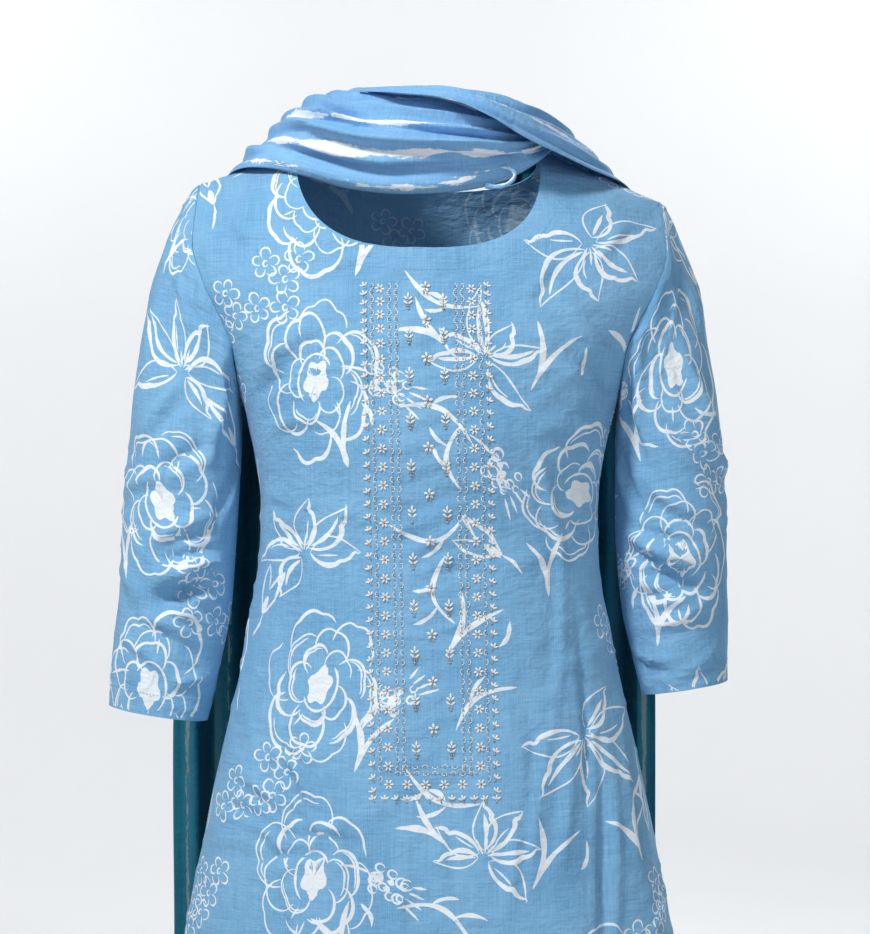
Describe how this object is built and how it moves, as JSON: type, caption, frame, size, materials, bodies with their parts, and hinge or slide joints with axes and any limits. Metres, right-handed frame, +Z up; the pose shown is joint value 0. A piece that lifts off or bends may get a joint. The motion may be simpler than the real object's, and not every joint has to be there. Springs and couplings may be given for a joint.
{
  "type": "kurti set",
  "caption": "Worn-form A-line cotton kurti with a round neck and three-quarter sleeves, and a matching dupatta wound round the neck with both ends hanging behind.",
  "frame": {"origin": "where the wearer's shoulders hold the garment: on the neck's axis, level with the high points of the shoulders", "axes": "+Z up along the garment's length, +Y to the back, +X to the wearer's left"},
  "size_m": [0.5686, 0.4081, 1.1508],
  "materials": {
    "kurti_cotton": "light blue slub cotton with a white line print, matt",
    "dupatta_cotton": "light blue thin cotton with ragged white stripes along its length, matt, darker and teal behind",
    "embroidery_thread": "white stranded thread with a soft sheen",
    "silver_thread": "silver-grey metallic thread and small knots"
  },
  "bodies": {
    "root": {"kurti_front": "kurti_cotton", "kurti_back": "kurti_cotton", "sleeve_right": "kurti_cotton", "sleeve_left": "kurti_cotton", "dupatta_cowl": "dupatta_cotton", "dupatta_cross": "dupatta_cotton", "dupatta_tail_right": "dupatta_cotton", "dupatta_tail_left": "dupatta_cotton"}
  },
  "joints": []
}
